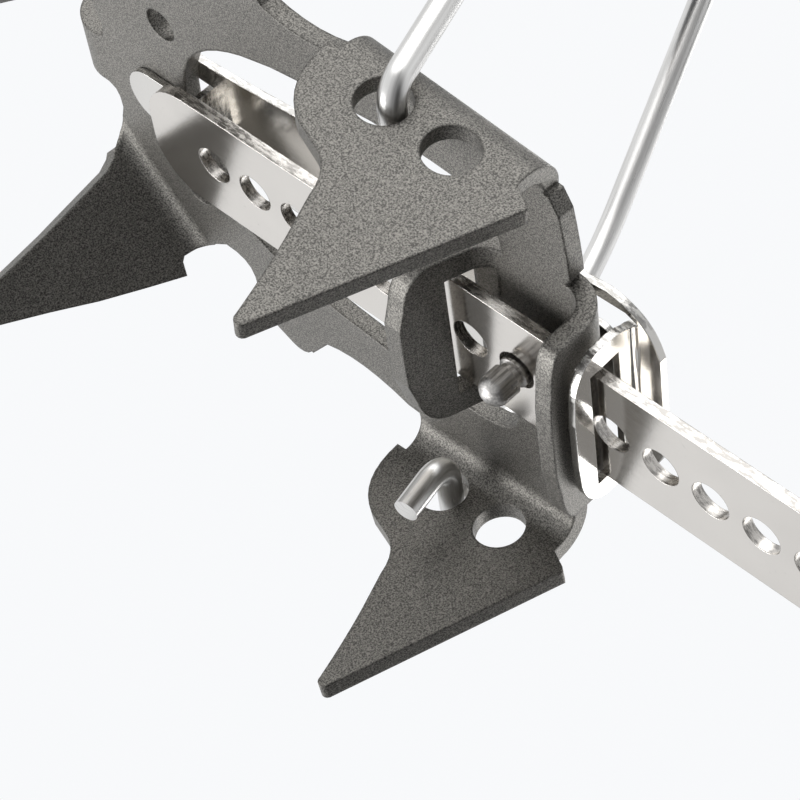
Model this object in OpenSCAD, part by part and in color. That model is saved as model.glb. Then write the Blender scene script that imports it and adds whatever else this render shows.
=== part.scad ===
// Semi-automatic crampon: heel section, linking bar and front section of bent
// steel plate, with a wire heel bail, a screw-adjusted heel lever, a moulded
// toe cage and an ankle strap. +X is the toe, +Y the left side, +Z up.
// The crampon stands on its spike tips at z = 0.
// The geometry is drawn from a datum at the locking pin: x = 0 on the pin's
// axis, z = 0 on the frames' lower face. placed() moves it onto the ground.

/* [Frame plates] */
// Thickness of the frame plate
plate_t = 2.5; // [2:0.1:3]
// Outer radius of the bends in the frame plate
bend_r = 5.9; // [5:0.1:6.5]
// Depth of the spikes below the frame's lower face
spike_h = 38.6; // [34:0.2:46]
// how far the rear spikes splay outwards, in degrees
spike_lean = 20; // [12:1:24]
// Radius of the spike tips
tip_r = 0.9; // [0.6:0.1:1.4]

/* [Heel section] */
// Half width of the heel section over its side tabs, at the middle of a tab
heel_half_w = 38.4; // [36:0.2:44]
// Angle by which the side tabs close in towards the toe
tab_taper = 6; // [3:0.5:8]
// Diameter of the two holes in each side tab
bail_hole_d = 7.1; // [6:0.1:7.4]
// Depth of those holes below the frame's lower face
bail_hole_z = 5.9; // [5.6:0.1:6.4]
// Distance between the two holes of a side tab
bail_hole_pitch = 10.4; // [9.6:0.1:11]
// Height of the stop behind the boot heel
heel_stop_h = 11; // [9:0.5:16]

/* [Linking bar] */
// Width of the linking bar
bar_w = 19; // [16:0.5:20]
// Thickness of the linking bar
bar_t = 1.6; // [1.2:0.1:2]
// Gap between the bar and the frame above it
bar_drop = 2.46; // [2:0.02:2.8]
// Distance between the holes of the bar
hole_pitch = 7.6; // [7.4:0.1:8.2]
// Diameter of the holes of the bar
bar_hole_d = 5.6; // [5.4:0.1:6]
// Number of holes behind the locking pin
holes_behind = 7; // [6:1:8]
// Number of holes ahead of the locking pin
holes_ahead = 9; // [8:1:10]
// Clearance round the bar in its guide slots
slot_clear = 1.45; // [1:0.05:1.8]

/* [Locking leaf] */
// Thickness of the guide leaf
leaf_t = 1.1; // [0.8:0.1:1.4]
// Half width of the guide leaf at its front lobe
leaf_half_w = 16; // [14.5:0.5:18]
// Thickness of the locking leaf
lock_t = 0.9; // [0.7:0.1:1]
// Half width of the locking leaf
lock_half_w = 6.5; // [5:0.5:8]
// Diameter of the locking pin
pin_d = 4.4; // [3.8:0.1:4.6]
// Depth of the pin's tip below the frame's lower face
pin_tip = 9.8; // [8.5:0.1:10.5]

/* [Heel bail and lever] */
// Diameter of the bail wire
wire_d = 3.5; // [3:0.1:4]
// Height of the bail's cross wire above the tab holes
bail_h = 110; // [100:1:124]
// Backward lean of the bail legs beside the boot
bail_lean = 18.3; // [12:0.1:26]
// Backward lean of the bail legs above their lower bend
bail_upper_lean = 18.3; // [14:0.1:28]
// Angle by which the legs close in above their lower bend
bail_close = 20.4; // [14:0.2:21]
// Half length of the cross wire between its bends
bail_top_half = 20; // [19:0.5:24]
// Width of the heel lever
lever_w = 29; // [27:0.5:31]
// Thickness of the lever's side walls
lever_wall = 2.4; // [2:0.1:3]
// Depth of the lever, front to back
lever_depth = 17; // [16.5:0.5:20]
// Length of the lever below the cross wire
lever_down = 37; // [35:1:44]
// Length of the lever above the cross wire
lever_up = 42; // [40:1:50]
// Diameter of the adjuster screw
screw_d = 5; // [4:0.5:5.5]
// Pitch of the adjuster screw
screw_pitch = 0.8; // [0.7:0.05:1]
// Diameter of the thumb wheel
wheel_d = 17; // [16:0.5:18]
// Thickness of the thumb wheel
wheel_t = 6; // [5:0.5:8]
// Travel of the adjuster block to each side
adjust_travel = 6; // [4:0.5:8]

/* [Front section] */
// Distance from the locking pin to the rear edge of the front section
front_gap = 88; // [84:1:96]
// Length of the front section without its front points
front_len = 128; // [122:1:136]
// Half width over the front section's rear side spikes
front_rear_half_w = 42; // [40:0.5:46]
// Half width over the front section's widest side spikes
front_half_w = 49.5; // [48:0.5:54]
// Length of the horizontal front points
point_len = 34; // [28:1:42]
// Droop of the front points
point_droop = 22; // [14:1:30]
// Diameter of the bar bolt
bolt_d = 5; // [4:0.5:5.4]

/* [Toe cage] */
// Thickness of the moulded toe cage
cage_t = 3.2; // [2.6:0.1:3.8]
// Height of the cage's pivots above the frame's lower face
cage_pivot_z = 14; // [13:0.5:16]
// Diameter of the cage's pivot pins
cage_pin_d = 5; // [4:0.2:6]
// Height of the toe band's lower edge at the front
band_z = 26; // [22:1:30]
// Width of the toe band at the front
band_w = 20; // [16:1:26]

/* [Ankle strap] */
// Width of the ankle strap's webbing
strap_w = 20; // [18:0.5:22]
// Thickness of the webbing
strap_t = 1.8; // [1.4:0.1:2.2]
// Length of the straight sides of the ankle loop
loop_side = 41; // [40:1:60]
// Inner width of the ankle loop
loop_w = 86; // [84:1:94]

/* [Hidden] */
$fn = 48;
seam = 0.5;
eps = 0.01;

// drop of the bend's centre below the plate's lower face
drop = bend_r - plate_t;
bar_top = -bar_drop;
bar_bottom = bar_top - bar_t;
bar_rear = -(holes_behind + 1.55) * hole_pitch;
front_x = front_gap;
cross_x = 44;
cross_w = 17;
bolt_x = front_x + cross_x + cross_w / 2;
bar_front = bolt_x + 9;
slot_half = bar_w / 2 + 1.4;
slot_bottom = bar_bottom - slot_clear;
lip_half = slot_half + 3.6;
front_lip_half = slot_half + 5.4;
front_lip_low = slot_bottom - 4.6;
rear_lip_low = slot_bottom - 6.2;
ring_low = slot_bottom - 2.7;
front_lip_x = bend_r + 5.6;
rear_lip_lean = 19.3;
opening_front = -5;
opening_rear = bar_rear + 3;
tab_mid_x = -9.5;
hole_1_x = tab_mid_x - 5.4;
hole_2_x = hole_1_x + bail_hole_pitch;
pin_r = pin_d / 2;
pin_hole_d = pin_d + 2;
heel_x = opening_rear - 24.3;
spike_x = opening_rear - 10.6;
spike_y = 22.7;
spike_yaw = 51.2;

// wire frame of the bail: where a leg passes its tab and where it meets the top
tab_out = heel_half_w + 5.4 * sin(tab_taper);
leg_gap = 0.75;
hook_gap = 6.7;
// the wire lies against the front of its hole
stub_x = hole_1_x + 1.3;
leg_y = tab_out + wire_d / 2 + leg_gap;
stub_y = tab_out - plate_t - wire_d / 2 - hook_gap;
knee_h = 48;
shoulder_h = bail_h - 11;
function leg_x(h) = stub_x - min(h, knee_h) * tan(bail_lean) - max(h - knee_h, 0) * tan(bail_upper_lean);
function leg_half(h) = leg_y - max(h - knee_h, 0) * tan(bail_close);
top_x = leg_x(bail_h);
top_z = -bail_hole_z + bail_h;

// the lever stands on the cross wire
lever_face = top_x + 5.2;
lever_back = lever_face - lever_depth;
back_wall = lever_wall + 0.2;
lever_low = top_z - lever_down;
lever_top = top_z + lever_up;
block_h = 11;
block_w = lever_w - 2 * lever_wall - 0.6;
screw_x = top_x - wire_d / 2 - screw_d / 2 - 0.75;
block_rear = lever_back + back_wall + 0.2;
block_front = top_x + wire_d / 2 + 1.85;
channel_top = top_z + adjust_travel + block_h / 2 + 1;
partition = 2.5;
wheel_z = top_z - adjust_travel - block_h / 2 - wheel_t - 1.2;

// ankle loop: it runs through slots in the lever's side walls
strap_z = channel_top + partition + 1;
strap_rear = top_x - 1;
strap_r = 28;
loop_half = loop_w / 2;
loop_len = strap_r + loop_side + loop_half;
strap_front = strap_rear + loop_len;
buckle_bar_d = 3;
wrap_r = buckle_bar_d / 2 + 0.1;
buckle_y = loop_half + strap_t + wrap_r;
buckle_step = 14;
buckle_x = strap_rear + strap_r + buckle_step + 4.5;
keeper_w = 8;
keeper_x = strap_rear + strap_r + loop_side - keeper_w - 1;
tail_len = 40;

cage_in = front_half_w - plate_t - cage_t - 0.6;
cage_out = cage_in + cage_t;
ear_u = 86;
ear_half = 8;
pivot_x = front_x + ear_u;
ear_out = cage_out + 0.5 + plate_t;
arch_x = pivot_x + 3;
arch_w = 18;
cage_mid_x = arch_x + arch_w / 2;
arch_t = 2.4;
arch_rivet_z = cage_pivot_z + 20;
arch_top = 60;

x_min = lever_back < heel_x - plate_t ? lever_back : heel_x - plate_t;
x_max = front_x + front_len + point_len;
shift_x = -(heel_x + x_max) / 2;

module placed() translate([shift_x, 0, spike_h]) children();

function rev(p) = [for (i = [len(p) - 1:-1:0]) p[i]];
function flip(p) = [for (q = rev(p)) [q[0], -q[1]]];
function both(p) = concat(p, flip(p));
function arc(c, r, a0, a1, n) = [for (i = [0:n]) let (a = a0 + (a1 - a0) * i / n) [c[0] + r * cos(a), c[1] + r * sin(a)]];
function mix(a, b, t) = a + (b - a) * t;
function curve(a, b, c, n) = [for (i = [0:n]) let (t = i / n) mix(mix(a, b, t), mix(b, c, t), t)];

// A ring sector round the x axis, from angle a0 to a1, of a plate bent with
// outer radius r; it covers x from s0 to s1
module sector(s0, s1, a0, a1, t, r)
    translate([s0, 0, 0]) rotate([90, 0, 90]) rotate([0, 0, a1]) mirror([0, 1, 0])
        rotate_extrude(angle = a1 - a0, $fn = 72) translate([r - t, 0]) square([t, s1 - s0]);

// The bend from a flat plate down to a flap whose outer face is y = 0. Its
// flat start overlaps the plate, whose outline stays back from the bend line
module fold(s0, s1, t = plate_t, r = bend_r) {
    translate([0, -r, t - r]) sector(s0, s1, 0, 90, t, r);
    translate([s0, -r, 0]) mirror([0, 1, 0]) cube([s1 - s0, 2 * seam, t]);
}

// Profile of a plate bent down to a flap that leans outwards by a
function bent_profile(a, reach) = let (r = bend_r) concat(
    [[-r - 2 * seam, plate_t]],
    arc([-r, plate_t - r], r, 90, a, 9),
    [for (k = [r, r - plate_t]) [-r + k * cos(a) + reach * sin(a), plate_t - r + k * sin(a) - reach * cos(a)]],
    arc([-r, plate_t - r], r - plate_t, a, 90, 9),
    [[-r - 2 * seam, 0]]);

// A flap below a bend; children draw its outline with y = 0 at the bend's end
module flap(t = plate_t, r = bend_r)
    translate([0, 0, t - r]) rotate([90, 0, 0]) linear_extrude(t) children();

// The same two turned upwards
module upward(t = plate_t) translate([0, 0, t]) mirror([0, 0, 1]) children();

// Outline of a side tab with its spike. s0 and s1 are the bend's ends, tip
// the tip's place; the bulge round the rear hole is kept on the rear side
module side_outline(s0, s1, tip) {
    low = drop - spike_h;
    polygon(concat(
        [[s0 - 1.6, -0.3]],
        curve([s0 - 1.6, -0.3], [s0 - 1.6, -8.2], [s0 + 4, -11], 8),
        curve([s0 + 7.5, -12.2], [s0 + 11.2, -13.2], [s0 + 12.2, -17.6], 6),
        [for (k = [0.35:0.15:0.95]) [mix(s0 + 12.2, tip - tip_r, k) + 1.2 * (1 - k) * k, mix(-17.6, low + tip_r, k)]],
        arc([tip, low + tip_r], tip_r, 180, 330, 6),
        [[s1 + 3.2, -3], [s1 + 2.7, -2.5], [s1 + 0.1, -1.2], [s1, 0], [s0, 0], [s0, -0.3]]));
}

module heel_side_tab() {
    s0 = -14.5;
    s1 = 13.6;
    difference() {
        union() {
            fold(s0, s1);
            flap() side_outline(s0, s1, 4);
        }
        for (x = [hole_1_x, hole_2_x]) translate([x - tab_mid_x, 1, -bail_hole_z]) rotate([90, 0, 0]) cylinder(d = bail_hole_d, h = plate_t + 2);
    }
}

// A rear corner spike, hung from a slanted bend
module corner_spike(s1 = 9.2, tip = -1.5) {
    s0 = spike_plan[1][0];
    low = -spike_h;
    intersection() {
        translate([s0 - 1, 0, 0]) rotate([90, 0, 90]) linear_extrude(s1 - s0 + 5) polygon(bent_profile(spike_lean, spike_h + 4));
        translate([0, 0, low - 1]) linear_extrude(spike_h + plate_t + 2) polygon(concat(spike_plan, [[-9, 22], [s1 + 3, 22], [s1 + 3, -bend_r - 3]]));
        translate([0, 24, 0]) rotate([90, 0, 0]) linear_extrude(48) polygon(concat(
            [[s0 - 1, plate_t + 1], [s0 - 1, -0.35], [-11, -0.8], [-10, -1.7], [-9.5, -2.25], [-8.3, -3.3]],
            curve([-7.35, -5], [-6.3, -10], [-4.9, -16.4], 5),
            [[-3.6, -23.9], [-2.9, -27.7], [tip - tip_r, low + tip_r]],
            arc([tip, low + tip_r], tip_r, 190, 330, 6),
            [[1.9, low + 10.7], [4.5, low + 17], [7.2, low + 23.1], [s1 + 0.3, low + 29.2], [s1 + 2.2, -4.1], [s1 + 0.2, -3.5], [s1 - 0.4, -2.9], [s1 - 0.3, -1.1], [s1, 0], [s1, plate_t + 1]]));
    }
}

// The rear edge of a corner spike's bend, seen from above
spike_plan = [[-13.6, -bend_r - 1.2], [-13.3, -bend_r - seam], [-13, -bend_r], [-11.95, 1.15 - bend_r], [-11, 2.2 - bend_r], [-10, 2.95 - bend_r], [-9.5, 3.2 - bend_r], [-9, -0.4]];

// Lower part of a guide lip's outline: its edge is bowed, low is its lowest
// point, and the depths are measured from the line z
function lip_edge(half, low) = let (k = 0.62 * half) concat(
    curve([-half, 0.62 * low], [-half + 0.6, 0.88 * low], [-k, 0.93 * low], 6),
    curve([-0.6 * k, low], [0, low - 0.1], [0.6 * k, low], 4),
    curve([k, 0.93 * low], [half - 0.6, 0.88 * low], [half, 0.62 * low], 6));

module lip_slot() translate([-slot_half, -bend_r - 4, slot_bottom]) cube([2 * slot_half, bend_r + 14, -slot_bottom - 0.1]);

// The upright guide lip, with a slot for the bar
module guide_lip(half, low) difference() {
    union() {
        fold(-half, half);
        flap() polygon(concat([[half, 0], [-half, 0]], lip_edge(half, low + drop)));
    }
    lip_slot();
}

// The guide lip that leans away from its bend
module leaned_lip(half, low, lean) difference() {
    intersection() {
        translate([-half - 1, 0, 0]) rotate([90, 0, 90]) linear_extrude(2 * half + 2) polygon(bent_profile(lean, 3 - low));
        translate([0, 20, 0]) rotate([90, 0, 0]) linear_extrude(40) polygon(concat(
            [[half, plate_t + 1], [-half, plate_t + 1]], lip_edge(half, low)));
    }
    lip_slot();
}

heel_outline = both(concat(
    [[front_lip_x - bend_r - seam, 0], [front_lip_x - bend_r - seam, front_lip_half - 0.3], [5.9, front_lip_half + 0.8]],
    curve([6.3, front_lip_half + 1.4], [6.2, 22], [5.4, 28], 4),
    [[4.1 , tab_bend(4.1)], [-24, tab_bend(-24)]],
    curve([-26.6, tab_bend(-24) - 0.1], [-35, heel_half_w - 8.5], [-42, heel_half_w - 5.9], 6),
    [[-45.6, heel_half_w - 1.2]],
    arc([-48.4, heel_half_w - 2.6], 2.8, 30, 120, 4),
    [[-53.6, heel_half_w - 2.2], [-55, heel_half_w - 4]],
    curve([-55.4, 28], [-56, 24.6], [-60.5, 24.9], 4),
    [spike_pt(9), spike_pt(spike_plan[1][0])],
    [[opening_rear - 15.4, 8.3], [opening_rear - 15.5, 6.3], [opening_rear - 16, 5.1], [opening_rear - 17, 4.5], [heel_x + bend_r + seam, 4.3], [heel_x + bend_r + seam, 0]]));

// the plate's edge under a side tab's bend, at x
function tab_bend(x) = heel_half_w - (bend_r + seam) / cos(tab_taper) - (x - tab_mid_x) * tan(tab_taper);
// a point on the plate's edge under a rear spike's bend
function spike_pt(s) = let (d = drop + seam) [spike_x + s * cos(spike_yaw) + d * sin(spike_yaw), spike_y + s * sin(spike_yaw) - d * cos(spike_yaw)];

opening_outline = both(concat(
    [[opening_front + seam, 0], [opening_front + seam, lip_half - 0.3]],
    curve([opening_front - 0.2, lip_half + 4], [opening_front - 1, 23.6], [-15, 23.7], 5),
    [[-24.8, 23.9], [-30.5, 23.2], [-37, 22.6], [-42.6, 21.7]],
    curve([-48.1, 20.2], [-56, 17.5], [opening_rear + 2.3, 12], 6),
    curve([opening_rear + 1, 9], [opening_rear, 6], [opening_rear, 0], 4)));

module sides() {
    children();
    mirror([0, 1, 0]) children();
}

module heel_frame() color("dimgray") placed() {
    difference() {
        union() {
            linear_extrude(plate_t) difference() {
                polygon(heel_outline);
                polygon(opening_outline);
            }
            sides() translate([tab_mid_x, heel_half_w, 0]) rotate([0, 0, -tab_taper]) heel_side_tab();
            sides() translate([spike_x, spike_y, 0]) rotate([0, 0, spike_yaw]) translate([0, plate_t, 0]) corner_spike();
            translate([front_lip_x, 0, 0]) rotate([0, 0, -90]) guide_lip(front_lip_half, front_lip_low);
            translate([opening_front - bend_r, 0, 0]) rotate([0, 0, 90]) leaned_lip(lip_half, rear_lip_low, rear_lip_lean);
            translate([heel_x, 0, 0]) rotate([0, 0, 90]) upward() {
                fold(-4.4, 4.4);
                flap() polygon(concat([[4.4, 0], [-4.4, 0]], arc([0, drop - heel_stop_h + 4.4 + plate_t], 4.4, 180, 360, 10)));
            }
        }
        translate([0, 0, -1]) cylinder(d = pin_hole_d, h = plate_t + 2);
        sides() translate([opening_rear - 1.9, 15.8, -1]) cylinder(d = 5, h = plate_t + 2);
    }
}

// The guide leaf lies on the heel frame; a slotted tongue is lanced out of its
// front lobe and bent down round the bar
ring_r = leaf_t + 0.9;
ring_x = front_lip_x + 2.9;
window_x = ring_x - 12.6;
leaf_front = ring_x + 3.2;
tail_half = 4.5;

module guide_leaf() color("silver") placed() {
    half = concat(
        [[leaf_front, 0], [leaf_front - 0.1, leaf_half_w - 7]],
        curve([leaf_front - 0.6, leaf_half_w - 5.5], [leaf_front - 2.4, leaf_half_w - 0.6], [leaf_front - 8, leaf_half_w], 14),
        [[2, leaf_half_w - 0.8], [-14, leaf_half_w - 2.4], [-43, leaf_half_w - 5.4], [-53, leaf_half_w - 6.5], [opening_rear - 1.5, leaf_half_w - 7.2],
        [opening_rear - 4, leaf_half_w - 7.9], [opening_rear - 4.6, leaf_half_w - 8.8], [opening_rear - 4.6, tail_half + 1], [opening_rear + 5.6, tail_half + 0.8], [opening_rear + 5.6, 0]]);
    ring_half = bar_w / 2 + 4.4;
    neck = ring_half - 0.9;
    translate([0, 0, plate_t]) linear_extrude(leaf_t) difference() {
        polygon(both(half));
        polygon(both([[ring_x - ring_r + seam, 0], [ring_x - ring_r + seam, neck - 0.3], [ring_x, neck + 0.4], [ring_x - 2, ring_half + 0.4],
            [window_x + 4, ring_half + 0.2], [window_x, ring_half - 5], [window_x, 0]]));
        circle(d = pin_hole_d);
    }
    difference() {
        translate([ring_x - ring_r, 0, plate_t]) rotate([0, 0, 90]) {
            fold(-neck, neck, leaf_t, ring_r);
            flap(leaf_t, ring_r) let (w = ring_low - plate_t - leaf_t + ring_r) polygon(concat(
                [[neck, 0], [-neck, 0]],
                curve([-neck - 0.3, -0.6], [-ring_half, -1.6], [-ring_half, -3.4], 8),
                curve([-ring_half, w + 4.6], [-ring_half + 0.8, w + 1], [-ring_half + 5.5, w + 0.3], 12),
                [[-4, w], [4, w]],
                curve([ring_half - 5.5, w + 0.3], [ring_half - 0.8, w + 1], [ring_half, w + 4.6], 12),
                curve([ring_half, -3.4], [ring_half, -1.6], [neck + 0.3, -0.6], 8)));
        }
        translate([ring_x - 9, -bar_w / 2 - 1, bar_bottom - 1.1]) cube([12, bar_w + 2, bar_drop + bar_t + 1.1 - 0.1]);
    }
}

// The locking leaf lies on the guide leaf. Its tail goes down through the
// opening and under the frame, and it swings on that edge
lock_z = plate_t + leaf_t + 0.15;
lock_rear = opening_rear + 1.5;
tail_z = -0.1;

module lock_leaf() color("silver") placed() {
    front = window_x + 8;
    tail = tail_half;
    tail_end = lock_rear - 12.2;
    difference() {
        union() {
            translate([0, 0, lock_z]) linear_extrude(lock_t) polygon(both(concat(
                [[front, 0], [front, lock_half_w - 2]],
                arc([front - 3, lock_half_w - 3], 3, 20, 90, 4),
                [[lock_rear + 12, lock_half_w], [lock_rear + 5, tail], [lock_rear, tail], [lock_rear, 0]])));
            translate([lock_rear, -tail, tail_z - lock_t]) cube([lock_t, 2 * tail, lock_z + lock_t - tail_z + lock_t]);
            translate([0, 0, tail_z - lock_t]) linear_extrude(lock_t) polygon(concat(
                [[lock_rear + lock_t, -tail], [lock_rear + lock_t, tail]],
                arc([tail_end + tail, 0], tail, 90, 270, 16)));
            translate([0, lock_half_w - 2, 0]) rotate([90, 0, 0]) linear_extrude(2 * lock_half_w - 4) polygon([
                [front - 2, lock_z], [front, lock_z], [front + 2.6, lock_z + 3.2], [front + 1.8, lock_z + 3.9], [front - 0.5, lock_z + lock_t], [front - 2, lock_z + lock_t]]);
        }
        translate([0, 0, lock_z - 1]) cylinder(d = pin_d, h = lock_t + 2);
    }
}

module lock_pin() color("gray") placed() {
    top = lock_z + lock_t;
    rotate_extrude() polygon(concat(
        [[0, top + 1.4], [3.3, top + 1.4], [3.8, top + 0.9], [3.8, top], [pin_r, top], [pin_r, -4.7], [pin_r - 0.45, -4.9], [pin_r - 0.45, -5.5], [pin_r, -5.8]],
        [for (k = [1:9]) [pin_r * cos(10 * k), -pin_tip + pin_r * 0.9 - pin_r * 0.9 * sin(10 * k)]]));
}

module linking_bar() color("silver") placed() translate([0, 0, bar_bottom]) {
    r = 7.5;
    linear_extrude(bar_t) difference() {
        polygon(concat(
            arc([bar_rear + r, bar_w / 2 - r], r, 90, 180, 8),
            arc([bar_rear + r, -bar_w / 2 + r], r, 180, 270, 8),
            arc([bar_front - 5, -bar_w / 2 + 5], 5, 270, 360, 6),
            arc([bar_front - 5, bar_w / 2 - 5], 5, 0, 90, 6)));
        for (k = [-holes_behind:holes_ahead]) translate([k * hole_pitch, 0]) circle(d = bar_hole_d);
        translate([bolt_x, 0]) circle(d = bolt_d + 0.1);
    }
}

// Front section, in u = distance ahead of its rear edge
u_bend = 0.7;
s1_u = 19;
s2_u = 62;
corner_x = 112;
corner_y = 33;
corner_yaw = -44;
front_outline = both(concat(
    [[seam, 0], [seam, lip_half - 0.3], [-0.4, lip_half + 1.4]],
    curve([-0.6, lip_half + 3], [0.4, 26], [3, 31], 4),
    [[s1_u - 13.8, s1_bend(-13.8)], [s1_u + 13.8, s1_bend(13.8)]],
    curve([s1_u + 17, s1_bend(16)], [s1_u + 22, 32.5], [s2_u - 17, front_half_w - 12.6], 6),
    [[s2_u - 13.8, front_half_w - bend_r - seam], [s2_u + 13.8, front_half_w - bend_r - seam]],
    [[s2_u + 15, front_half_w - 9.4], [ear_u - ear_half - 1, front_half_w - 9.4], [ear_u - ear_half + 0.2, ear_out - bend_r - seam], [ear_u + ear_half - 0.2, ear_out - bend_r - seam]],
    curve([ear_u + ear_half + 1, ear_out - bend_r - 2.2], [ear_u + 12, 39], [ear_u + 15, 38], 3),
    [front_pt(9.8), front_pt(-9.8)],
    [[front_len - 3.5, 22.4], [front_len, 21], [front_len, 8.4]],
    curve([front_len - 3, 6], [front_len - 7, 3], [front_len - 7, 0], 4)));
function s1_bend(s) = front_rear_half_w - (bend_r + seam) / cos(5) + s * tan(5);
function front_pt(s) = let (d = bend_r + seam) [corner_x - s * cos(corner_yaw) + d * sin(corner_yaw), corner_y - s * sin(corner_yaw) - d * cos(corner_yaw)];

module front_side(s0, s1, tip, rear) {
    low = drop - spike_h;
    fold(s0, s1);
    flap() polygon(concat(
        [[s0, 0], [s0 - 1, -1.2]],
        curve([s0 - 1, -4], [s0 + 1.5, -8.5], [s0 + 6, -11], 5),
        curve([s0 + 9, -13], [s0 + 11, -17], [mix(s0 + 11, tip, 0.6), mix(-14, low, 0.55)], 4),
        arc([tip, low + tip_r], tip_r, 195, 335, 6),
        curve([tip + 4, low + 12], [s1 - 4.5, -13], [s1 + 1, -5], 5),
        [[s1 + 1, -1.2], [s1, 0]]));
}

module front_frame() color("dimgray") placed() translate([front_x, 0, 0]) {
    o1 = [12, cross_x];
    difference() {
        union() {
            linear_extrude(plate_t) difference() {
                polygon(front_outline);
                polygon(both(concat(
                    [[cross_x + seam, 0], [cross_x + seam, lip_half - 0.3]],
                    curve([cross_x - 0.5, lip_half + 3], [cross_x - 1, 25], [cross_x - 9, 25.4], 4),
                    [[24, 24]],
                    curve([17, 22.5], [12, 19], [11, 12], 4), [[11, 0]])));
                polygon(both(concat(
                    [[front_len - 20, 0]],
                    curve([front_len - 20, 8], [front_len - 21, 19], [front_len - 28, 25], 4),
                    curve([front_len - 36, 31], [76, 32], [72, 30], 4),
                    curve([65, 26], [cross_x + cross_w, 20], [cross_x + cross_w, 8], 4),
                    [[cross_x + cross_w, 0]])));
            }
            rotate([0, 0, 90]) translate([0, bend_r, 0]) guide_lip(lip_half, front_lip_low);
            translate([cross_x - bend_r, 0, 0]) rotate([0, 0, 90]) leaned_lip(lip_half, rear_lip_low, rear_lip_lean);
            sides() {
                translate([s1_u, front_rear_half_w, 0]) rotate([0, 0, 5]) front_side(-14, 14, 1, true);
                translate([s2_u, front_half_w, 0]) front_side(-14, 14, 4, true);
                translate([corner_x, corner_y, 0]) rotate([0, 0, corner_yaw]) front_side(-10, 10, 4, false);
                translate([ear_u, ear_out, 0]) upward() {
                    fold(-ear_half, ear_half);
                    flap() polygon(concat([[ear_half, 0], [-ear_half, 0]],
                        arc([0, drop + plate_t - cage_pivot_z], ear_half, 180, 360, 12)));
                }
                front_point();
            }
        }
        sides() translate([ear_u, ear_out + 1, cage_pivot_z]) rotate([90, 0, 0]) cylinder(d = cage_pin_d + 0.1, h = plate_t + 2);
        translate([bolt_x - front_x, 0, -1]) cylinder(d = bolt_d + 0.1, h = plate_t + 2);
        sides() translate([cross_x + 8, 27, -1]) cylinder(d = 5, h = plate_t + 2);
    }
}

// A front point: the plate curves down and narrows to its tip
module front_point() {
    r = 40;
    y0 = 14.6;
    run = point_len - r * sin(point_droop) + 1;
    reach = run / cos(point_droop);
    intersection() {
        translate([front_len, 30, 0]) rotate([90, 0, 0]) linear_extrude(30) polygon(concat(
            [[-2, 0], [-2, plate_t]],
            arc([0, plate_t - r], r, 90, 90 - point_droop, 10),
            [for (k = [r, r - plate_t]) [k * sin(point_droop) + reach * cos(point_droop), plate_t - r + k * cos(point_droop) - reach * sin(point_droop)]],
            arc([0, plate_t - r], r - plate_t, 90 - point_droop, 90, 10)));
        translate([front_len, y0, -40]) linear_extrude(60) polygon(concat(
            [[-1.8, -6.2], [-1.8, 6.4]],
            curve([8, 5.6], [20, 4.2], [point_len - 1.6, 1.6], 4),
            [[point_len, 0.6], [point_len, -0.6]],
            curve([point_len - 1.6, -1.6], [20, -4.2], [8, -5.6], 4)));
    }
}

module bar_bolt() color("silver") placed() translate([bolt_x, 0, 0]) rotate_extrude() polygon([
    [0, -8.6], [bolt_d / 2 - 0.5, -8.6], [bolt_d / 2, -8.1], [bolt_d / 2, plate_t], [4.6, plate_t], [4.6, plate_t + 0.9], [3.4, plate_t + 2.1], [0, plate_t + 2.4]]);

module bar_spacer() color("silver") placed() translate([bolt_x, 0, bar_top]) difference() {
    cylinder(d = 11, h = bar_drop);
    translate([0, 0, -1]) cylinder(d = bolt_d + 0.1, h = bar_drop + 2);
}

module bar_nut() color("silver") placed() translate([bolt_x, 0, bar_bottom - 3.6]) difference() {
    cylinder(d = 9.2, h = 3.6, $fn = 6);
    translate([0, 0, -1]) cylinder(d = bolt_d, h = 6);
}

// A straight length of wire between two points
module rod(a, b, d = wire_d) {
    v = b - a;
    h = norm(v);
    translate(a) rotate([0, acos(v[2] / h), atan2(v[1], v[0])]) cylinder(d = d, h = h);
}

module bail_wire() color("lightgray") placed() {
    r = wire_d / 2;
    top = [top_x, bail_top_half, top_z];
    stub = [stub_x, stub_y, -bail_hole_z];
    low = [stub_x + 1.8, stub_y, -bail_hole_z - 9.4];
    path = concat([low, stub], [for (h = [0, knee_h, shoulder_h]) [leg_x(h), leg_half(h), h - bail_hole_z]], [top]);
    sides() for (i = [1:len(path) - 1]) {
        rod(path[i - 1], path[i]);
        translate(path[i]) sphere(r = r + 0.05);
    }
    rod([top_x, -bail_top_half, top_z], [top_x, bail_top_half, top_z]);
}

// The block that the cross wire turns in; it rides in the lever on the screw
module adjuster_block() color("gray") placed() difference() {
    translate([block_rear, -block_w / 2, top_z - block_h / 2]) cube([block_front - block_rear, block_w, block_h]);
    translate([top_x, block_w, top_z]) rotate([90, 0, 0]) cylinder(d = wire_d + 0.1, h = 2 * block_w);
    translate([screw_x, 0, top_z - block_h]) cylinder(d = screw_d + 0.1, h = 2 * block_h);
}

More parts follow.
